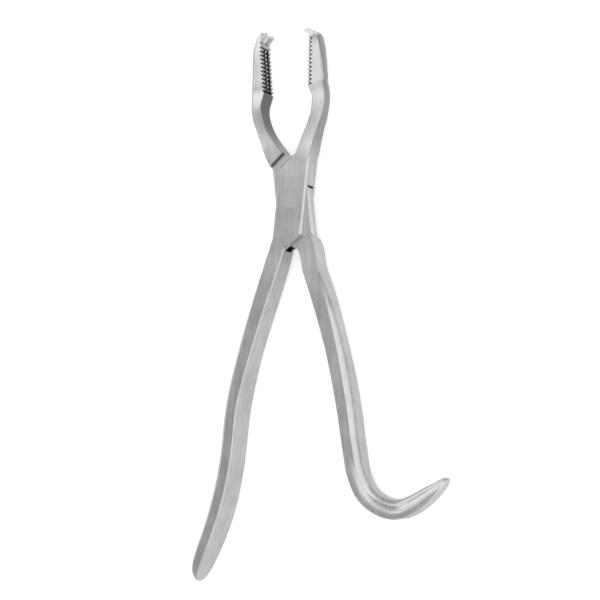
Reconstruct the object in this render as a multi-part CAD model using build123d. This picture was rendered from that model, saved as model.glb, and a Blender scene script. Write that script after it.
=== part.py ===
from build123d import *

import math
import os
from collections import namedtuple

# Bone holding forceps with lion jaws and a box joint, lying flat.
# X runs across the instrument, Y runs from the handles to the jaws, Z is the joint's axis.
# The origin is the centre of the pin's ground end on the back face of the box.
# Sizes are in millimetres and degrees. Lengths in plan are from the pin's axis, with the jaws
# open as they lie at rest.

# Box of the female shank
BOX_THICKNESS = 7.5
BOX_HALF_WIDTH = 6.4
BOX_LEAN = 6.5
BOX_CORNER_HEIGHT = 13.7
BOX_KINK_X = 2.45
BOX_KINK_Y = 18.7
BOX_ROOT_HEIGHT = 17.0
BOX_CHAMFER = 0.6

# Tongue of the male shank and the slot that it turns in
TONGUE_THICKNESS = 4.0
TONGUE_HALF_WIDTH = 7.2
TONGUE_FLANK_TOP = 4.6
TONGUE_BEVEL = 0.8
TONGUE_END_AIM = 66.0
SLOT_WALL_X = 6.4
SLOT_WINDOW_Y = 5.7
SHOULDER_INNER_X = 3.75
SHOULDER_INNER_Y = 19.4
SHOULDER_OUTER_X = 9.5
SHOULDER_OUTER_Y = 14.6
FACE_CLEARANCE = 0.05
END_CLEARANCE = 0.3

# Travel of the male shank from rest, in degrees
CLOSE_ANGLE = 16.0

# Pin, peened into countersinks and ground flush
PIN_DIAMETER = 4.6
PIN_FLARE = 0.5
PIN_CLEARANCE = 0.05

# Widths of the arms across their flat inner face, and depths behind it
NECK_WIDTH = 6.8
JAW_WIDTH = 7.5
SHANK_WIDTH = 9.2
GRIP_WIDTH = 10.8
FLARE_WIDTH = 11.6
GRIP_DEPTH = 7.3
HOOK_DEPTH = 7.2
EDGE_BEVEL = 0.3

# Longest run between two sections of a loft
SECTION_SPACING = 4.5

# Teeth of the jaws
TOOTH_PITCH = 1.63
TOOTH_ROWS = 12
TOOTH_DEPTH = 0.85
GROOVE_HALF_WIDTH = 0.6
GROOVE_SPREAD = 1.25
PAD_FIRST_ROW = 45.1

# How far a cutting prism runs past the faces that it opens
OVERSHOOT = 40.0

MID = BOX_THICKNESS / 2
SIDE_SLOPE = math.tan(math.radians(BOX_LEAN))

# Slice of a prong: its place across the instrument, its low and high edges, and its two sides
# as heights from the middle plane
Slice = namedtuple("Slice", "x low high near far")

# One cross-section of an arm: where its flat inner face is in plan, how deep the arm is behind
# it, how wide the face is, and where the ridge between front facet and crown lies, as shares.
Station = namedtuple("Station", "x y depth width reach ridge")

FEMALE_JAW = [
    Station(1.4, 16.0, 6.4, BOX_THICKNESS, 0.9, 1.0),
    Station(BOX_KINK_X, BOX_KINK_Y, 6.6, BOX_THICKNESS, 0.9, 1.0),
    Station(4.8, 24.4, 6.1, 7.2, 0.88, 0.93),
    Station(7.1, 29.4, 5.6, NECK_WIDTH, 0.84, 0.8),
    Station(8.8, 34.0, 5.5, NECK_WIDTH, 0.81, 0.68),
    Station(9.5, 38.4, 5.6, 7.2, 0.79, 0.61),
    Station(8.8, 42.2, 6.2, JAW_WIDTH, 0.78, 0.58),
    Station(7.6, 45.0, 6.8, JAW_WIDTH, 0.78, 0.55),
    Station(7.6, 47.5, 6.7, JAW_WIDTH, 0.78, 0.55),
    Station(7.7, 53.0, 6.2, JAW_WIDTH, 0.78, 0.58),
    Station(7.8, 58.5, 5.5, JAW_WIDTH, 0.78, 0.63),
    Station(7.8, 61.5, 5.0, JAW_WIDTH, 0.78, 0.66),
    Station(8.0, 64.5, 4.2, 6.6, 0.78, 0.67),
]

MALE_JAW = [
    Station(-1.2, 16.4, 8.0, BOX_THICKNESS, 0.92, 1.0),
    Station(-SHOULDER_INNER_X, SHOULDER_INNER_Y, 7.9, BOX_THICKNESS, 0.92, 1.0),
    Station(-7.3, 23.7, 7.0, 7.3, 0.88, 0.92),
    Station(-10.4, 28.2, 5.8, NECK_WIDTH, 0.82, 0.8),
    Station(-12.6, 32.6, 5.4, NECK_WIDTH, 0.77, 0.7),
    Station(-13.8, 36.6, 5.7, 7.2, 0.74, 0.64),
    Station(-13.5, 40.8, 6.4, JAW_WIDTH, 0.72, 0.6),
    Station(-12.4, 44.4, 7.4, JAW_WIDTH, 0.7, 0.55),
    Station(-12.6, 47.5, 7.1, JAW_WIDTH, 0.7, 0.57),
    Station(-13.0, 53.0, 6.6, JAW_WIDTH, 0.7, 0.6),
    Station(-13.5, 58.5, 6.0, JAW_WIDTH, 0.7, 0.64),
    Station(-13.8, 61.5, 5.6, JAW_WIDTH, 0.7, 0.66),
    Station(-14.3, 65.2, 4.1, 6.8, 0.7, 0.7),
]

FEMALE_HANDLE = [
    Station(-1.8, -16.2, 6.4, BOX_THICKNESS, 0.96, 1.0),
    Station(-BOX_KINK_X, -BOX_KINK_Y, 6.6, BOX_THICKNESS, 0.96, 1.0),
    Station(-4.9, -26.2, 7.6, 8.2, 0.86, 0.99),
    Station(-9.5, -38.4, 7.9, SHANK_WIDTH, 0.76, 0.96),
    Station(-16.2, -56.8, 7.7, SHANK_WIDTH, 0.68, 0.93),
    Station(-22.3, -78.6, GRIP_DEPTH, GRIP_WIDTH, 0.62, 0.91),
    Station(-25.2, -100.9, GRIP_DEPTH, GRIP_WIDTH, 0.6, 0.91),
    Station(-28.9, -116.8, 7.2, FLARE_WIDTH, 0.6, 0.91),
    Station(-33.2, -128.4, 6.9, FLARE_WIDTH, 0.6, 0.9),
    Station(-37.7, -137.6, 6.1, 11.0, 0.6, 0.89),
    Station(-40.2, -142.4, 4.9, 9.6, 0.6, 0.87),
    Station(-41.6, -145.0, 3.1, 6.8, 0.6, 0.85),
    Station(-42.2, -146.0, 1.6, 3.0, 0.6, 0.82),
]

MALE_HANDLE = [
    Station(1.0, -15.6, 7.8, BOX_THICKNESS, 0.96, 1.0),
    Station(SHOULDER_INNER_X, -SHOULDER_INNER_Y, 7.4, BOX_THICKNESS, 0.96, 1.0),
    Station(5.8, -27.0, 7.6, 8.2, 0.86, 0.99),
    Station(10.0, -38.4, 7.8, SHANK_WIDTH, 0.74, 0.96),
    Station(15.8, -56.8, 7.6, SHANK_WIDTH, 0.64, 0.93),
    Station(21.2, -78.6, 7.2, GRIP_WIDTH, 0.58, 0.91),
    Station(24.1, -95.7, 6.9, GRIP_WIDTH, 0.57, 0.9),
    Station(26.0, -105.5, 7.0, 10.2, 0.58, 0.86),
    Station(30.3, -113.5, HOOK_DEPTH, 9.6, 0.62, 0.76),
    Station(37.2, -118.3, HOOK_DEPTH, 9.0, 0.66, 0.7),
    Station(45.0, -119.7, HOOK_DEPTH, 8.4, 0.66, 0.66),
    Station(52.0, -117.0, 6.6, 7.6, 0.66, 0.64),
    Station(57.3, -113.2, 5.8, 6.8, 0.66, 0.64),
    Station(61.0, -109.7, 4.4, 6.0, 0.66, 0.64),
    Station(63.2, -106.8, 2.8, 4.8, 0.66, 0.64),
    Station(64.2, -105.2, 1.1, 2.6, 0.66, 0.64),
]

# The female jaw's one prong enters the notch between the male jaw's two, listed by the front one.
FEMALE_PRONG = [
    Slice(12.0, 60.5, 63.2, -1.1, 1.1),
    Slice(10.8, 61.0, 65.8, -1.8, 1.8),
    Slice(8.8, 62.2, 67.1, -1.9, 1.9),
    Slice(6.3, 65.8, 68.3, -1.2, 1.2),
    Slice(3.9, 67.6, 68.2, -0.5, 0.5),
]

MALE_PRONG = [
    Slice(-18.0, 61.0, 64.2, 1.25, 1.7),
    Slice(-16.6, 62.2, 67.2, 1.25, 2.7),
    Slice(-13.9, 66.0, 69.1, 1.45, 3.4),
    Slice(-11.7, 67.7, 68.6, 2.1, 2.9),
]


def box_side(y):
    """Point on the box's right-hand side at height y."""
    return (BOX_HALF_WIDTH + y * SIDE_SLOPE, y)


def turned(point):
    """The same point turned half a turn about the pin."""
    return (-point[0], -point[1])


def plate(points, low, high):
    """Prism over an outline in plan, between two heights."""
    outline = Polyline(*points, close=True)
    return Pos(0, 0, low) * extrude(make_face(outline), high - low)


def spun(point, degrees):
    """The same point turned about the pin, anticlockwise as seen from the front."""
    angle = math.radians(degrees)
    x, y = point
    return (x * math.cos(angle) - y * math.sin(angle), x * math.sin(angle) + y * math.cos(angle))


def section(station, tangent, side):
    """Face across an arm: flat inner side with bevelled edges, two facets and a rounded crown."""
    out = Vector(tangent.Y * side, -tangent.X * side, 0)
    frame = Plane(origin=(station.x, station.y, 0), x_dir=out, z_dir=out.cross(Vector(0, 0, 1)))
    half = station.width / 2
    ridge_x = station.depth * station.reach
    ridge_z = half * station.ridge
    flat = half - EDGE_BEVEL
    rim_z = half - EDGE_BEVEL * (half - ridge_z) / ridge_x
    inner = Line((0, -flat), (0, flat))
    front_rim = Line((0, flat), (EDGE_BEVEL, rim_z))
    front = Line((EDGE_BEVEL, rim_z), (ridge_x, ridge_z))
    crown = ThreePointArc((ridge_x, ridge_z), (station.depth, 0), (ridge_x, -ridge_z))
    back = Line((ridge_x, -ridge_z), (EDGE_BEVEL, -rim_z))
    back_rim = Line((EDGE_BEVEL, -rim_z), (0, -flat))
    return frame * make_face([inner, front_rim, front, crown, back, back_rim])


def refined(stations):
    """The same stations with more between them, on a smooth curve through every value."""
    runs = [math.dist(a[:2], b[:2]) for a, b in zip(stations, stations[1:])]
    steps = [[(v - u) / run for u, v in zip(a, b)] for a, b, run in zip(stations, stations[1:], runs)]
    slopes = [steps[0]]
    for i in range(1, len(runs)):
        share = runs[i] / (runs[i - 1] + runs[i])
        slopes.append([u * share + v * (1 - share) for u, v in zip(steps[i - 1], steps[i])])
    slopes.append(steps[-1])
    result = []
    for i, run in enumerate(runs):
        count = math.ceil(run / SECTION_SPACING)
        for k in range(count):
            t = k / count
            rise = t * t * (3 - 2 * t)
            leave = t * (1 - t) * (1 - t) * run
            arrive = t * t * (t - 1) * run
            rows = zip(stations[i], stations[i + 1], slopes[i], slopes[i + 1])
            result.append(Station(*[u + (v - u) * rise + m * leave + n * arrive for u, v, m, n in rows]))
    return result + [stations[-1]]


def arm(stations, side):
    """Smooth loft through an arm's sections, each square to the inner face."""
    faces = []
    stations = refined(stations)
    last = len(stations) - 1
    for i, station in enumerate(stations):
        before = stations[max(i - 1, 0)]
        after = stations[min(i + 1, last)]
        tangent = Vector(after.x - before.x, after.y - before.y, 0).normalized()
        faces.append(section(station, tangent, side))
    return loft(faces)


def prong(slices):
    """Tapering hook at a jaw's tip, as a loft through upright slices."""
    faces = []
    for cut in slices:
        corners = [(cut.low, cut.near), (cut.high, cut.near), (cut.high, cut.far), (cut.low, cut.far)]
        outline = Polyline(*[(cut.x, y, z) for y, z in corners], close=True)
        faces.append(make_face(outline))
    return loft(faces, ruled=True)


def vee(width):
    """Outline of a groove's cutter, with its mouth on the local x axis at y = 0."""
    slope = GROOVE_HALF_WIDTH / TOOTH_DEPTH
    half_mouth = (TOOTH_DEPTH + width) * slope
    return make_face(Polyline((0, -TOOTH_DEPTH), (half_mouth, width), (-half_mouth, width), close=True))


def teeth(low, high, side):
    """Grooves that cut a jaw's pad into pyramid teeth: rows across it, and two along it."""
    along = Vector(high.x - low.x, high.y - low.y, 0).normalized()
    away = Vector(-along.Y * side, along.X * side, 0)
    start = Vector(low.x, low.y, 0) + along * ((PAD_FIRST_ROW - low.y) / along.Y)
    cutters = []
    for i in range(TOOTH_ROWS):
        origin = start + along * (i * TOOTH_PITCH) - Vector(0, 0, JAW_WIDTH)
        frame = Plane(origin=origin, x_dir=away.cross(Vector(0, 0, 1)), z_dir=(0, 0, 1))
        cutters.append(extrude(frame * vee(1.0), 2 * JAW_WIDTH))
    length = (TOOTH_ROWS - 1) * TOOTH_PITCH
    for z in (-GROOVE_SPREAD, GROOVE_SPREAD):
        frame = Plane(origin=start + Vector(0, 0, z), x_dir=along.cross(away), z_dir=along)
        cutters.append(extrude(frame * vee(1.0), length))
    return cutters


def box():
    """Box of the female shank: a prism with bevelled edges along both of its sides."""
    corner = box_side(-BOX_CORNER_HEIGHT)
    root = box_side(BOX_ROOT_HEIGHT)
    kink = (BOX_KINK_X, BOX_KINK_Y)
    outline = [root, corner, turned(kink), turned(root), turned(corner), kink]
    block = plate(outline, -MID, MID)
    rims = block.edges().filter_by(Axis.Z, reverse=True)
    return chamfer(rims, BOX_CHAMFER)


def end_wall(x, clearance):
    """Point at x on the slot's upper end wall, this far outside the closed tongue's end."""
    aim = math.radians(TONGUE_END_AIM)
    reach = SHOULDER_INNER_Y * math.sin(aim) - SHOULDER_INNER_X * math.cos(aim)
    closed_aim = math.radians(TONGUE_END_AIM - CLOSE_ANGLE)
    return (x, (reach + clearance - x * math.cos(closed_aim)) / math.sin(closed_aim))


def tongue():
    """Male shank's plate inside the box, shoulder to shoulder, bevelled along its flanks."""
    clear_x = SLOT_WALL_X - END_CLEARANCE
    end = spun(end_wall(clear_x, 0), CLOSE_ANGLE)
    waist = spun((clear_x, SLOT_WINDOW_Y + END_CLEARANCE), CLOSE_ANGLE)
    flank = (TONGUE_HALF_WIDTH, TONGUE_FLANK_TOP)
    outer = (SHOULDER_OUTER_X, -SHOULDER_OUTER_Y)
    inner = (SHOULDER_INNER_X, -SHOULDER_INNER_Y)
    right = [end, waist, flank, outer, inner]
    half = TONGUE_THICKNESS / 2
    block = plate(right + [turned(point) for point in right], -half, half)
    rims = []
    for x, y in (flank, turned(flank)):
        middle = ((x + math.copysign(SHOULDER_OUTER_X, x)) / 2, (y - math.copysign(SHOULDER_OUTER_Y, y)) / 2)
        for edge in block.edges().filter_by(Axis.Z, reverse=True):
            centre = edge.center()
            if abs(centre.X - middle[0]) < 0.01 and abs(centre.Y - middle[1]) < 0.01:
                rims.append(edge)
    return chamfer(rims, TONGUE_BEVEL)


def slot():
    """Slot across the box, with a wall at each end that the tongue meets last."""
    half = TONGUE_THICKNESS / 2 + FACE_CLEARANCE
    far = end_wall(-OVERSHOOT, END_CLEARANCE)
    top = end_wall(SLOT_WALL_X, END_CLEARANCE)
    right = [far, top, (SLOT_WALL_X, SLOT_WINDOW_Y), (OVERSHOOT, SLOT_WINDOW_Y)]
    return plate(right + [turned(point) for point in right], -half, half)


def shoulder_gaps():
    """Both spaces beside the tongue, cut down to it between the two shoulders."""
    outer = Vector(-SHOULDER_OUTER_X, SHOULDER_OUTER_Y)
    inner = Vector(-SHOULDER_INNER_X, SHOULDER_INNER_Y)
    along = (inner - outer).normalized() * OVERSHOOT
    left = outer - along
    right = inner + along
    outline = [(left.X, left.Y), (right.X, right.Y), (-left.X, -left.Y), (-right.X, -right.Y)]
    half = TONGUE_THICKNESS / 2
    return [plate(outline, half, OVERSHOOT), plate(outline, -OVERSHOOT, -half)]


def pin_shape(diameter, flare):
    """Pin through the whole box, with a peened cone of this size at each end."""
    radius = diameter / 2
    half = [(0, 0), (0, MID), (radius + flare, MID), (radius, MID - flare), (radius, 0)]
    upper = revolve(Plane.XZ * make_face(Polyline(*half, close=True)), Axis.Z)
    return upper + upper.mirror(Plane.XY)


def female_shank():
    """Right jaw, box and straight handle in one forging."""
    blank = box() + arm(FEMALE_JAW, 1) + arm(FEMALE_HANDLE, 1)
    blank += prong(FEMALE_PRONG)
    blank -= slot()
    blank -= pin_shape(PIN_DIAMETER, PIN_FLARE)
    blank -= teeth(FEMALE_JAW[8], FEMALE_JAW[10], 1)
    return blank


def male_shank():
    """Left jaw, tongue and hooked handle in one forging."""
    blank = arm(MALE_JAW, -1) + arm(MALE_HANDLE, -1)
    front_prong = prong(MALE_PRONG)
    blank += [front_prong, front_prong.mirror(Plane.XY)]
    blank -= shoulder_gaps()
    blank += tongue()
    blank -= Cylinder(PIN_DIAMETER / 2 + PIN_CLEARANCE, TONGUE_THICKNESS + OVERSHOOT)
    blank -= teeth(MALE_JAW[8], MALE_JAW[10], -1)
    return blank


def joint_pin():
    """Rivet pin, ground flush with both faces of the box."""
    return pin_shape(PIN_DIAMETER, PIN_FLARE)


PIECES = {
    "female_shank": female_shank,
    "male_shank": male_shank,
    "joint_pin": joint_pin,
}


def write_parts():
    """Write every piece to its own file, lifted so that the box's back face is at zero."""
    os.makedirs("parts", exist_ok=True)
    for name, make in PIECES.items():
        piece = Pos(0, 0, MID) * make()
        piece.label = name
        export_step(piece, f"parts/{name}.step")
        print(name, "solids", len(piece.solids()), "volume", round(piece.volume, 1))


write_parts()
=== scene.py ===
# %% [markdown]
# # Bone holding forceps
# Two steel shanks cross in a box joint and turn on one pin. The female shank carries the box,
# the right jaw and the straight handle. The male shank passes through the box as a tongue and
# carries the left jaw and the hooked handle. The shapes come from the CAD frame, in metres,
# lying flat with the joint's axis upright. This file gives them their steel finishes, adds the
# rounded back of the hook, and sets up a white floor, light and a camera.

# %% Load the frame
import bpy
import math
from mathutils import Matrix, Vector


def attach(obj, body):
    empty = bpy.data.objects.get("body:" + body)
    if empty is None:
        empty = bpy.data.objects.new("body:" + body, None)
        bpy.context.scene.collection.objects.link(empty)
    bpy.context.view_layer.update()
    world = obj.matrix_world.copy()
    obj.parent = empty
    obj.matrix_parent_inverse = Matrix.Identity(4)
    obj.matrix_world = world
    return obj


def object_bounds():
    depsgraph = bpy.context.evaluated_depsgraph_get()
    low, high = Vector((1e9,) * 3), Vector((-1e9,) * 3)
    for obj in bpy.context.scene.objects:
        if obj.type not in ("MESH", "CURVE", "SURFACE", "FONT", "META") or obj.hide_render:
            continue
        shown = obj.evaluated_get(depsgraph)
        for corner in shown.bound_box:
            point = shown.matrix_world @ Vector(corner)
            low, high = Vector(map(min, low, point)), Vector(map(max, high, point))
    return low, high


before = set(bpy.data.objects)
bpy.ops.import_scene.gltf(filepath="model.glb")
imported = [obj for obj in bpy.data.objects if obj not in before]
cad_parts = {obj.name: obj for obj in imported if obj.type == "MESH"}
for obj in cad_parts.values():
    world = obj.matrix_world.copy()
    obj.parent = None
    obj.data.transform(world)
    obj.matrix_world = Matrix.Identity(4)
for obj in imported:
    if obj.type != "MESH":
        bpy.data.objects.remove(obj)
cad_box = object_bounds()


def in_millimetres(box):
    """The two corners of a box in millimetres, rounded for printing."""
    return [[round(v * 1000, 2) for v in corner] for corner in box]


print("CAD box in mm", in_millimetres(cad_box))

# %% [markdown]
# ## Camera
# The photograph looks down on the forceps from the hook's side, with the jaws at the top of
# the picture. A camera could be aimed by hand with a tracking constraint. Here its place is
# written as angles about the joint, because those angles were found by laying the model's
# outline over the photograph. The camera's local X, Y and Z axes are the picture's right, its
# up and the way back to the viewer. The lens follows from how many of the picture's pixels a
# metre takes up at the joint.

# %% Camera at the photograph's viewpoint
SWING = math.radians(30.75)
RISE = math.radians(-6.75)
ROLL = math.radians(0.325)
DISTANCE = 0.5
SENSOR_MM = 36
NEAREST_SEEN = 0.01
FARTHEST_SEEN = 20
PICTURE = 600
PIXELS_PER_METRE = 2569.0
ORIGIN_PIXEL = (299.675, 203.675)

back = Vector((math.sin(SWING) * math.cos(RISE), math.sin(RISE), math.cos(SWING) * math.cos(RISE)))
level_up = (Vector((0, 1, 0)) - back * back.y).normalized()
level_right = level_up.cross(back)
right = level_right * math.cos(ROLL) + level_up * math.sin(ROLL)
up = level_up * math.cos(ROLL) - level_right * math.sin(ROLL)
pixels_right = PICTURE / 2 - ORIGIN_PIXEL[0]
pixels_up = ORIGIN_PIXEL[1] - PICTURE / 2
place = (right * pixels_right + up * pixels_up) / PIXELS_PER_METRE + back * DISTANCE

camera_data = bpy.data.cameras.new("photograph_view")
camera_data.sensor_width = SENSOR_MM
camera_data.lens = SENSOR_MM * DISTANCE * PIXELS_PER_METRE / PICTURE
camera_data.clip_start = NEAREST_SEEN
camera_data.clip_end = FARTHEST_SEEN
camera = bpy.data.objects.new("photograph_view", camera_data)
bpy.context.scene.collection.objects.link(camera)
camera.matrix_world = Matrix((
    (right.x, up.x, back.x, place.x),
    (right.y, up.y, back.y, place.y),
    (right.z, up.z, back.z, place.z),
    (0, 0, 0, 1),
))
bpy.context.scene.camera = camera
print("camera lens", round(camera_data.lens, 2), "mm, place", [round(v, 3) for v in place])

# %% [markdown]
# ## Colours and nodes
# Hex colours are written as they look on a screen. Blender's shaders work in linear light, so
# one function turns the one into the other, with the numbers of the sRGB standard. A second
# one adds a shader node, sets its properties and fills its inputs: a value goes in as it is,
# and another node's socket is linked. A third one starts a material. The materials could be
# drawn in the node editor, but as code they can be read from top to bottom.

# %% Helpers for materials
def linear(hex_colour):
    """Linear RGBA of an sRGB colour such as #C0C0C0."""
    channels = []
    for start in (1, 3, 5):
        value = int(hex_colour[start:start + 2], 16) / 255
        channels.append(value / 12.92 if value <= 0.04045 else ((value + 0.055) / 1.055) ** 2.4)
    return (*channels, 1.0)


def add(tree, kind, inputs=None, **settings):
    """A new node in the tree, with its settings, and with values or links in its inputs."""
    node = tree.nodes.new(kind)
    for name, value in settings.items():
        setattr(node, name, value)
    for name, value in (inputs or {}).items():
        if isinstance(value, bpy.types.NodeSocket):
            tree.links.new(value, node.inputs[name])
        else:
            node.inputs[name].default_value = value
    return node


def new_material(name):
    """An empty node material, its node tree and its output node."""
    material = bpy.data.materials.new(name)
    material.use_nodes = True
    material.node_tree.nodes.clear()
    return material, material.node_tree, material.node_tree.nodes.new("ShaderNodeOutputMaterial")


PAPER_WHITE = linear("#F4F4F2")
GLOW_WHITE = linear("#FFFFFF")
print("white paper is", [round(v, 3) for v in PAPER_WHITE[:3]], "in linear light")

# %% [markdown]
# ## The marks of belt grinding
# Surgical forceps are forged from hardened stainless steel, ground on a belt and then brushed
# to a satin finish that doesn't dazzle under the theatre's lamps. That leaves very fine lines
# along each shank, wider streaks, and faint cloudy patches where the belt pressed harder. A
# picture of brushed metal could be wrapped round the shape. Noise on object coordinates is
# used instead, because it has no seams and keeps its real size. The lines and streaks are
# noise stretched along Y, which is the way that the belt ran. Real belt lines are under 0.1 mm
# wide, less than a pixel of this picture, so the grain is drawn as coarse as it needs to show.

# %% Grain, streaks and clouds
# size of a mark in X, Y and Z in metres, then the noise's detail and roughness
BELT_MARKS = {
    "grain": ((0.00035, 0.012, 0.00035), 3.0, 0.6),
    "streak": ((0.0011, 0.016, 0.0011), 4.0, 0.65),
    "cloud": ((0.009, 0.009, 0.009), 5.0, 0.6),
}


def belt_marks(tree, place):
    """One noise value for each kind of mark that the belt leaves."""
    marks = []
    for size, detail, roughness in BELT_MARKS.values():
        scaled = add(tree, "ShaderNodeVectorMath", {
            0: place,
            1: [1 / length for length in size],
        }, operation="MULTIPLY")
        noise = add(tree, "ShaderNodeTexNoise", {
            "Vector": scaled.outputs[0],
            "Scale": 1.0,
            "Detail": detail,
            "Roughness": roughness,
        })
        marks.append(noise.outputs["Fac"])
    return marks


for mark, settings in BELT_MARKS.items():
    print(mark, [round(length * 1000, 2) for length in settings[0]], "mm")

# %% [markdown]
# ## Painted shade on the jaws
# The jaws' rounded outer sides are painted a shade darker than the ground facets, as painted
# shade. The inner face in the hollow below the pads is painted dark grey, as the painted
# reflection of the shaded gap between the jaws. Such zones could be painted on the shape by
# hand, but paint needs an unwrapped mesh and is lost when the CAD changes. Here a zone is a
# mask, a number from 0 to 1 that is worked out from where a point lies along the jaw and from
# which way its surface looks. Each range below gives the value where the mask is still 0 and
# the value where it is full.

# %% Painted shade on the jaws' outer sides and in the hollow below the pads
# places along Y are in metres from the joint, and outward is the part of a surface's direction
# that points away from the other jaw, from -1 to 1
CROWN_ALONG = (0.014, 0.024)
CROWN_OUTWARD = (0.4, 0.7)
HOLLOW_FROM = (0.013, 0.03)
HOLLOW_TO = (0.0463, 0.0455)
HOLLOW_INWARD = (-0.45, -0.75)
# both greys below are painted shade, on the jaws' outer sides and in the hollow below the pads
PAINTED_OUTER_SIDE_GREY = linear("#A6A6A8")
PAINTED_HOLLOW_GREY = linear("#77777A")


def zone(tree, ranges):
    """A mask that is full where each of the values has run through its range."""
    mask = 1.0
    for value, (none, full) in ranges:
        part = add(tree, "ShaderNodeMapRange", {"Value": value, "From Min": none, "From Max": full})
        both = add(tree, "ShaderNodeMath", {0: mask, 1: part.outputs["Result"]}, operation="MULTIPLY")
        mask = both.outputs[0]
    return mask


def with_painted_jaw_shade(tree, spot, facing, ground):
    """The ground steel's colour, with painted shade on the jaws' outer sides and in the hollow below the
    pads.
    """
    along = spot.outputs["Y"]
    side = add(tree, "ShaderNodeMath", {0: spot.outputs["X"]}, operation="SIGN")
    outward = add(tree, "ShaderNodeMath", {
        0: side.outputs[0],
        1: facing.outputs["X"],
    }, operation="MULTIPLY").outputs[0]
    crown = zone(tree, [(outward, CROWN_OUTWARD), (along, CROWN_ALONG)])
    hollow = zone(tree, [(along, HOLLOW_FROM), (along, HOLLOW_TO), (outward, HOLLOW_INWARD)])
    colour = ground
    for mask, zone_colour in ((crown, PAINTED_OUTER_SIDE_GREY), (hollow, PAINTED_HOLLOW_GREY)):
        mixed = add(tree, "ShaderNodeMix", {"Factor": mask, 6: colour, 7: zone_colour}, data_type="RGBA")
        colour = mixed.outputs[2]
    return colour


print("hollow between", HOLLOW_FROM[1] * 1000, "and", HOLLOW_TO[1] * 1000, "mm above the joint")

# %% [markdown]
# ## Dark cuts between the teeth
# The cuts between the teeth and other narrow corners are painted dark, as painted shade. Ambient
# occlusion finds the narrow recesses, and on the pads the walls across the rows get painted
# shade as well. On the right jaw a painted shadow also lies over the end of each row, as an
# oval on the front facet. Those ovals could be small sunk shapes, but they are only painted
# shadow, so a mask draws them: the distance from the nearest row's end, counted in the oval's
# own half widths.

# %% Painted shade in the cuts and at the rows' ends
# lengths and places are in metres, a turn is the part of a surface's direction along one axis,
# and closed and open are shares of the sky that a point sees within the recess's reach
RECESS_REACH = 0.0011
RECESS_SAMPLES = 8
RECESS_CLOSED = 0.5
RECESS_OPEN = 0.9
RECESS_LEFT = 0.06
PAD_START = 0.0446
PAD_END = 0.0636
WALL_TURN = (0.35, 0.6)
WALL_SHARE = 0.5
ROW_PITCH = 0.00163
FIRST_ROW = 0.0451
ROW_END_X = 0.00835
OVAL_HALF_LENGTH = 0.0009
OVAL_HALF_HEIGHT = 0.00055
OVAL_EDGE = (1.2, 0.8)
FACET_TURN = 0.7
CUT_SHADE_COVER = 0.92


def row_ends(tree, spot, facing):
    """A mask with one oval of painted shadow at the end of each row of teeth, on the flat facets only.
    """
    row = add(tree, "ShaderNodeMath", {
        0: spot.outputs["Y"],
        1: 1 / ROW_PITCH,
        2: 0.5 - FIRST_ROW / ROW_PITCH,
    }, operation="MULTIPLY_ADD")
    row = add(tree, "ShaderNodeMath", {0: row.outputs[0]}, operation="FRACT")
    from_row = add(tree, "ShaderNodeMath", {
        0: row.outputs[0],
        1: ROW_PITCH / OVAL_HALF_HEIGHT,
        2: -0.5 * ROW_PITCH / OVAL_HALF_HEIGHT,
    }, operation="MULTIPLY_ADD")
    from_end = add(tree, "ShaderNodeMath", {
        0: spot.outputs["X"],
        1: 1 / OVAL_HALF_LENGTH,
        2: -ROW_END_X / OVAL_HALF_LENGTH,
    }, operation="MULTIPLY_ADD")
    offset = add(tree, "ShaderNodeCombineXYZ", {0: from_end.outputs[0], 1: from_row.outputs[0]})
    distance = add(tree, "ShaderNodeVectorMath", {0: offset.outputs[0]}, operation="LENGTH")
    oval = zone(tree, [(distance.outputs["Value"], OVAL_EDGE)])
    level = add(tree, "ShaderNodeMath", {0: facing.outputs["Z"]}, operation="ABSOLUTE")
    level = add(tree, "ShaderNodeMath", {0: level.outputs[0], 1: FACET_TURN}, operation="GREATER_THAN")
    return add(tree, "ShaderNodeMath", {0: level.outputs[0], 1: oval}, operation="MULTIPLY").outputs[0]


def unshaded_share(tree, spot, facing):
    """How much of the bright steel shows: 1 on open surfaces, near 0 under the painted shade."""
    recess = add(tree, "ShaderNodeAmbientOcclusion", {
        "Distance": RECESS_REACH,
    }, samples=RECESS_SAMPLES, only_local=True)
    openness = add(tree, "ShaderNodeMapRange", {
        "Value": recess.outputs["AO"],
        "From Min": RECESS_CLOSED,
        "From Max": RECESS_OPEN,
        "To Min": RECESS_LEFT,
    })
    turned = add(tree, "ShaderNodeMath", {0: facing.outputs["Y"]}, operation="ABSOLUTE")
    wall = add(tree, "ShaderNodeMath", {
        0: zone(tree, [(turned.outputs[0], WALL_TURN)]),
        1: WALL_SHARE,
    }, operation="MULTIPLY")
    cut_shade = add(tree, "ShaderNodeMath", {
        0: wall.outputs[0],
        1: row_ends(tree, spot, facing),
    }, operation="MAXIMUM")
    on_pad = add(tree, "ShaderNodeMath", {
        0: spot.outputs["Y"],
        1: (PAD_START + PAD_END) / 2,
        2: (PAD_END - PAD_START) / 2,
    }, operation="COMPARE")
    cover = add(tree, "ShaderNodeMath", {0: on_pad.outputs[0], 1: cut_shade.outputs[0]}, operation="MULTIPLY")
    unshaded = add(tree, "ShaderNodeMath", {
        0: cover.outputs[0],
        1: -CUT_SHADE_COVER,
        2: 1.0,
    }, operation="MULTIPLY_ADD")
    return add(tree, "ShaderNodeMath", {
        0: unshaded.outputs[0],
        1: openness.outputs["Result"],
    }, operation="MINIMUM").outputs[0]


row_count = math.floor((PAD_END - FIRST_ROW) / ROW_PITCH) + 1
print(row_count, "dark row ends,", round(ROW_PITCH * 1000, 2), "mm apart")

# %% [markdown]
# ## Satin ground stainless steel
# The finish gives the eye a grey metal whose highlights are broad and soft. Its colour runs
# between two close greys with the streaks and clouds, and where it is lighter it is also a
# little rougher. The grain is only a bump, 0.02 mm high. An anisotropic shader could stretch
# the highlights along the lines, but it needs the direction of the lines at every point, and
# on curved handles the bump does nearly the same. Both shanks get the same steel, each as a
# material of its own, because each has a material slot of its own in the library.

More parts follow.
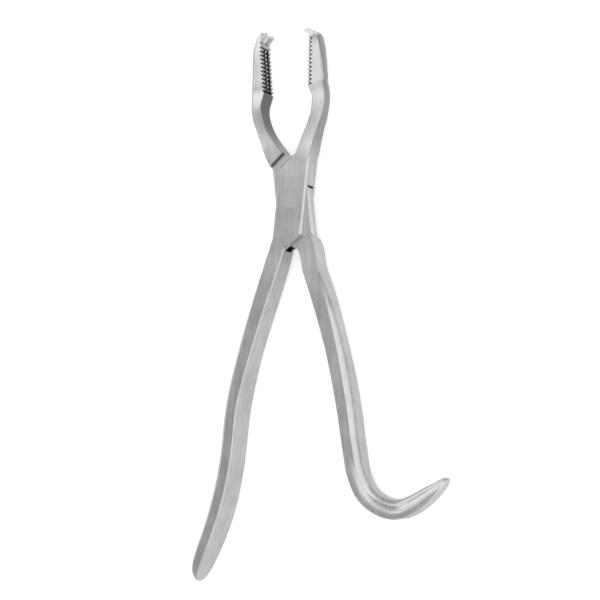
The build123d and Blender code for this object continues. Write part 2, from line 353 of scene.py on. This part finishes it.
# %% Satin ground stainless steel, for both shanks
DARK_GREY = linear("#BCBCBE")
LIGHT_GREY = linear("#D6D6D6")
# the near-black colour below is painted shade, for the cuts, narrow corners and the rows' ends
PAINTED_CUT_SHADE = linear("#2E2D2C")
NOISE_LOW = 0.36
NOISE_HIGH = 0.64
SMOOTHEST = 0.27
ROUGHEST = 0.36
GRAIN_STRENGTH = 0.4
GRAIN_HEIGHT = 0.00002


def satin_ground_stainless(name):
    """Belt-ground satin steel whose lines run along Y, with painted shade on the jaws and in the cuts.
    """
    material, tree, output = new_material(name)
    place_node = add(tree, "ShaderNodeTexCoord")
    spot = add(tree, "ShaderNodeSeparateXYZ", {0: place_node.outputs["Object"]})
    facing = add(tree, "ShaderNodeSeparateXYZ", {0: place_node.outputs["Normal"]})
    grain, streak, cloud = belt_marks(tree, place_node.outputs["Object"])
    worked = add(tree, "ShaderNodeMix", {"Factor": 0.5, 2: cloud, 3: streak}, data_type="FLOAT")
    tint = add(tree, "ShaderNodeValToRGB", {"Fac": worked.outputs[0]})
    stops = zip(tint.color_ramp.elements, (NOISE_LOW, NOISE_HIGH), (DARK_GREY, LIGHT_GREY))
    for element, position, colour in stops:
        element.position = position
        element.color = colour
    # painted shade in the cuts, on the jaws' outer sides and in the hollow goes into the steel's colour
    # here
    shaded_steel_colour = add(tree, "ShaderNodeMix", {
        "Factor": unshaded_share(tree, spot, facing),
        6: PAINTED_CUT_SHADE,
        7: with_painted_jaw_shade(tree, spot, facing, tint.outputs["Color"]),
    }, data_type="RGBA")
    gloss = add(tree, "ShaderNodeMapRange", {
        "Value": worked.outputs[0],
        "From Min": NOISE_LOW,
        "From Max": NOISE_HIGH,
        "To Min": SMOOTHEST,
        "To Max": ROUGHEST,
    })
    lines = add(tree, "ShaderNodeBump", {
        "Height": grain,
        "Strength": GRAIN_STRENGTH,
        "Distance": GRAIN_HEIGHT,
    })
    steel = add(tree, "ShaderNodeBsdfPrincipled", {
        "Base Color": shaded_steel_colour.outputs[2],
        "Metallic": 1.0,
        "Roughness": gloss.outputs["Result"],
        "Normal": lines.outputs["Normal"],
    })
    tree.links.new(steel.outputs["BSDF"], output.inputs["Surface"])
    return material


female_steel = satin_ground_stainless("satin_ground_stainless_female")
male_steel = satin_ground_stainless("satin_ground_stainless_male")
print("steel", female_steel.name, male_steel.name, len(male_steel.node_tree.nodes), "nodes each")

# %% [markdown]
# ## The pin's ground end
# The pin is the same steel, hammered into the countersinks of the box and then ground level
# with it. Its end is almost lost in the box's face: it shows only as a disc that is a shade
# lighter, without the brushed lines of the shanks. An image of rings could be laid on it. A
# ring pattern round the joint's axis draws the grinding instead, because it needs no picture
# and stays centred on the pin. Real rings would be far too fine to show, so these are drawn
# 2.5 mm apart, and even so the bump is too low to be seen from the photograph's distance.

# %% Ground stainless steel, for the pin
RING_SCALE = 125
RING_SPACING = math.pi / 10 / RING_SCALE  # the wave texture's rings are pi / 10 apart at scale 1
RING_STRENGTH = 0.15
RING_HEIGHT = 0.00001
PIN_GREY = linear("#CFCFD0")
PIN_ROUGHNESS = 0.33


def ground_pin_steel(name):
    """Steel with fine rings round the joint's axis."""
    material, tree, output = new_material(name)
    place_node = add(tree, "ShaderNodeTexCoord")
    rings = add(tree, "ShaderNodeTexWave", {
        "Vector": place_node.outputs["Object"],
        "Scale": RING_SCALE,
        "Distortion": 0.6,
        "Detail": 1.0,
    }, wave_type="RINGS", rings_direction="Z")
    lines = add(tree, "ShaderNodeBump", {
        "Height": rings.outputs["Fac"],
        "Strength": RING_STRENGTH,
        "Distance": RING_HEIGHT,
    })
    steel = add(tree, "ShaderNodeBsdfPrincipled", {
        "Base Color": PIN_GREY,
        "Metallic": 1.0,
        "Roughness": PIN_ROUGHNESS,
        "Normal": lines.outputs["Normal"],
    })
    tree.links.new(steel.outputs["BSDF"], output.inputs["Surface"])
    return material


pin_steel = ground_pin_steel("ground_stainless_pin")
print("pin", pin_steel.name, "with rings", round(RING_SPACING * 1000, 1), "mm apart")

# %% [markdown]
# ## Steel on the CAD shapes
# The three shapes stay as the CAD made them: their facets, the narrow flat along each edge and
# the smooth surface directions are already in the meshes. Copies with a Bevel modifier could
# round the edges more, but a mesh of long thin triangles shades badly once it is cut again.
# So each shape only gets its material, in the slot that it came with.

# %% Give each shape its steel
STEELS = {"female_shank": female_steel, "male_shank": male_steel, "joint_pin": pin_steel}

for node, steel in STEELS.items():
    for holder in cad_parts[node].material_slots:
        holder.material = steel
    print(node, len(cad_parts[node].data.polygons), "faces,", steel.name)

# %% [markdown]
# ## Rows of the hook's rounded back
# Towards its hook the handle's front facet isn't flat any more: the grinder rolled it over the
# belt, so it bulges, mirrors a bright band along its middle and meets the side in a crease. The
# CAD keeps the facet flat, because the bulge is under half a millimetre high. It could be drawn
# as a NURBS patch. Here it is a strip of quads over the facet, because the CAD's own stations
# then guide it: this step sets further rows between them, on a smooth curve.

# %% Stations along the hook, and the rows between them
ROWS_PER_SPAN = 6

# x, y, depth and width of the handle in mm, where its ridge lies as a share of the depth, the
# ridge's height as a share of the half width, and the bulge in mm
HOOK_STATIONS = [
    (24.1, -95.7, 6.9, 10.8, 0.57, 0.9, 0.0),
    (26.0, -105.5, 7.0, 10.2, 0.58, 0.86, 0.22),
    (30.3, -113.5, 7.2, 9.6, 0.62, 0.76, 0.42),
    (37.2, -118.3, 7.2, 9.0, 0.66, 0.7, 0.5),
    (45.0, -119.7, 7.2, 8.4, 0.66, 0.66, 0.5),
    (52.0, -117.0, 6.6, 7.6, 0.66, 0.64, 0.46),
    (57.3, -113.2, 5.8, 6.8, 0.66, 0.64, 0.38),
    (61.0, -109.7, 4.4, 6.0, 0.66, 0.64, 0.26),
    (63.2, -106.8, 2.8, 4.8, 0.66, 0.64, 0.1),
]


def smooth_rows(stations, count):
    """Rows between the given ones, on a smooth curve through every value."""
    runs = [math.dist(a[:2], b[:2]) for a, b in zip(stations, stations[1:])]
    steps = [
        [(v - u) / run for u, v in zip(a, b)]
        for a, b, run in zip(stations, stations[1:], runs)
    ]
    slopes = [steps[0]]
    for i in range(1, len(runs)):
        share = runs[i] / (runs[i - 1] + runs[i])
        slopes.append([u * share + v * (1 - share) for u, v in zip(steps[i - 1], steps[i])])
    slopes.append(steps[-1])
    rows = []
    for i, run in enumerate(runs):
        for k in range(count):
            t = k / count
            rise = t * t * (3 - 2 * t)
            leave = t * (1 - t) * (1 - t) * run
            arrive = t * t * (t - 1) * run
            values = zip(stations[i], stations[i + 1], slopes[i], slopes[i + 1])
            rows.append([u + (v - u) * rise + m * leave + n * arrive for u, v, m, n in values])
    return rows + [list(stations[-1])]


rows = smooth_rows(HOOK_STATIONS, ROWS_PER_SPAN)
print(len(rows), "rows, highest bulge", round(max(row[6] for row in rows), 2), "mm")

# %% [markdown]
# ## Mesh of the hook's rounded back
# Each row crosses the facet from the narrow flat at the handle's rim to its ridge. It rises as
# a low parabola and starts and ends a little under the CAD's surface, so that no edge of the
# strip shows. A Shrinkwrap modifier could press the strip on the facet, but that would take the
# bulge away again. The strip turns with the male shank and has its steel.

# %% Mesh of the hook's rounded back
MILLIMETRE = 0.001
MID_PLANE = 3.75
RIM_BEVEL = 0.3
SUNK = 0.04
FULL_BULGE = 0.1
POINTS_ACROSS = 14

points = []
for i, (x, y, depth, width, ridge_share, ridge, bulge) in enumerate(rows):
    before = rows[max(i - 1, 0)]
    after = rows[min(i + 1, len(rows) - 1)]
    along = Vector((after[0] - before[0], after[1] - before[1])).normalized()
    across = Vector((-along.y, along.x))
    ridge_reach = depth * ridge_share
    for k in range(POINTS_ACROSS):
        t = k / (POINTS_ACROSS - 1)
        reach = RIM_BEVEL + (ridge_reach - RIM_BEVEL) * t
        facet = width / 2 * (1 - (1 - ridge) * reach / ridge_reach)
        raised = bulge * 4 * t * (1 - t)
        sunk = SUNK * (1 - min(bulge / FULL_BULGE, 1) * math.sin(math.pi * t))
        points.append((
            (x + across.x * reach) * MILLIMETRE,
            (y + across.y * reach) * MILLIMETRE,
            (MID_PLANE + facet + raised - sunk) * MILLIMETRE,
        ))

faces = []
for i in range(len(rows) - 1):
    for k in range(POINTS_ACROSS - 1):
        corner = i * POINTS_ACROSS + k
        faces.append((corner, corner + POINTS_ACROSS, corner + POINTS_ACROSS + 1, corner + 1))

back_mesh = bpy.data.meshes.new("hook_rounded_back")
back_mesh.from_pydata(points, [], faces)
back_mesh.shade_smooth()
back_mesh.materials.append(male_steel)
hook_back = bpy.data.objects.new("hook_rounded_back", back_mesh)
bpy.context.scene.collection.objects.link(hook_back)
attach(hook_back, "male")
outside = [round(v, 2) for v in back_mesh.polygons[0].normal]
print(hook_back.name, len(faces), "faces, the first one looks along", outside)

# %% [markdown]
# ## Floor
# The forceps lie on a white sheet that runs out of the picture. A shadow catcher would keep
# the shadow alone, but it needs a second picture behind it. A plain white surface under soft
# light would come out light grey, so the camera sees a little white glow added to it, and the
# steel mirrors a part of that glow. The shadow stays in it.

# %% White floor that keeps the shadow
FLOOR_SIZE = 6
FLOOR_GAP = 0.0002
GLOW = 0.48
MIRRORED_GLOW = 0.4

# the frame leaves the CAD shapes selected, and an operator acts on all that is selected
for obj in bpy.context.selected_objects:
    obj.select_set(False)
bpy.ops.mesh.primitive_plane_add(size=FLOOR_SIZE, location=(0, 0, cad_box[0][2] - FLOOR_GAP))
floor = bpy.context.object
floor.name = "white_floor"
paper, tree, output = new_material("matt_white_paper")
ray = add(tree, "ShaderNodeLightPath")
sheet = add(tree, "ShaderNodeBsdfDiffuse", {"Color": PAPER_WHITE})
glow = add(tree, "ShaderNodeEmission", {"Color": GLOW_WHITE, "Strength": GLOW})
lit = add(tree, "ShaderNodeAddShader", {0: sheet.outputs[0], 1: glow.outputs[0]})
seen = add(tree, "ShaderNodeMath", {
    0: ray.outputs["Is Glossy Ray"],
    1: MIRRORED_GLOW,
    2: ray.outputs["Is Camera Ray"],
}, operation="MULTIPLY_ADD", use_clamp=True)
mixed = add(tree, "ShaderNodeMixShader", {
    "Fac": seen.outputs[0],
    1: sheet.outputs[0],
    2: lit.outputs[0],
})
tree.links.new(mixed.outputs[0], output.inputs["Surface"])
floor.data.materials.append(paper)
print("floor at", round(floor.location.z * 1000, 2), "mm")

# %% [markdown]
# ## Lamps
# A metal object is lit by what it mirrors, so the lamps are large panels. A sky picture could
# light it as well, but panels can be placed one by one for the facets that need them. The
# broad panel stands on the right and lights the handles, the box and the paper. The jaw panel
# is above the jaws and lights their front facets. The left panel lights the facets that turn
# away to the left. The hook panel is small and far away, so that it draws one bright band along
# the hook's rounded back.

# %% Soft panels
MIDDLE = (0.01, -0.04, 0.0)
HOOK = (0.045, -0.119, 0.0)

# name, place, the point it looks at, width and height in metres, and power in watts
PANELS = [
    ("broad_panel", (0.5, -0.12, 0.62), MIDDLE, 1.35, 1.05, 3.5),
    ("jaw_panel", (0.05, 0.32, 0.75), MIDDLE, 0.4, 0.34, 0.3),
    ("left_panel", (-0.6, 0.42, 0.33), MIDDLE, 0.45, 0.45, 0.72),
    ("hook_panel", (-0.82, 0.8, 1.56), HOOK, 0.35, 0.35, 1.25),
]

for name, place, aim, width, height, power in PANELS:
    data = bpy.data.lights.new(name, "AREA")
    data.shape = "RECTANGLE"
    data.size = width
    data.size_y = height
    data.energy = power
    lamp = bpy.data.objects.new(name, data)
    bpy.context.scene.collection.objects.link(lamp)
    lamp.location = place
    lamp.rotation_euler = (Vector(place) - Vector(aim)).to_track_quat("Z", "Y").to_euler()
    print(name, power, "W,", round(math.dist(place, aim), 2), "m away")

# %% [markdown]
# ## World
# Round the panels the room is a soft grey, which the steel mirrors wherever no panel is in its
# way. The box's flat face gets its even tone from it. A white room would wash the facets out,
# so only the camera sees the world as white, behind the sheet.

# %% A grey room that the camera sees as white
ROOM_GREY = 0.49

world = bpy.data.worlds.new("studio")
bpy.context.scene.world = world
world.use_nodes = True
tree = world.node_tree
tree.nodes.clear()
ray = add(tree, "ShaderNodeLightPath")
room = add(tree, "ShaderNodeBackground", {"Color": GLOW_WHITE, "Strength": ROOM_GREY})
white = add(tree, "ShaderNodeBackground", {"Color": GLOW_WHITE, "Strength": 1.0})
mixed = add(tree, "ShaderNodeMixShader", {
    "Fac": ray.outputs["Is Camera Ray"],
    1: room.outputs[0],
    2: white.outputs[0],
})
add(tree, "ShaderNodeOutputWorld", {"Surface": mixed.outputs[0]})
print("world", world.name, "of strength", ROOM_GREY)

# %% [markdown]
# ## View settings
# The Standard view shows the colours as they were written, where a film-like view would turn
# the white sheet grey.

# %% Standard view
bpy.context.scene.view_settings.view_transform = "Standard"
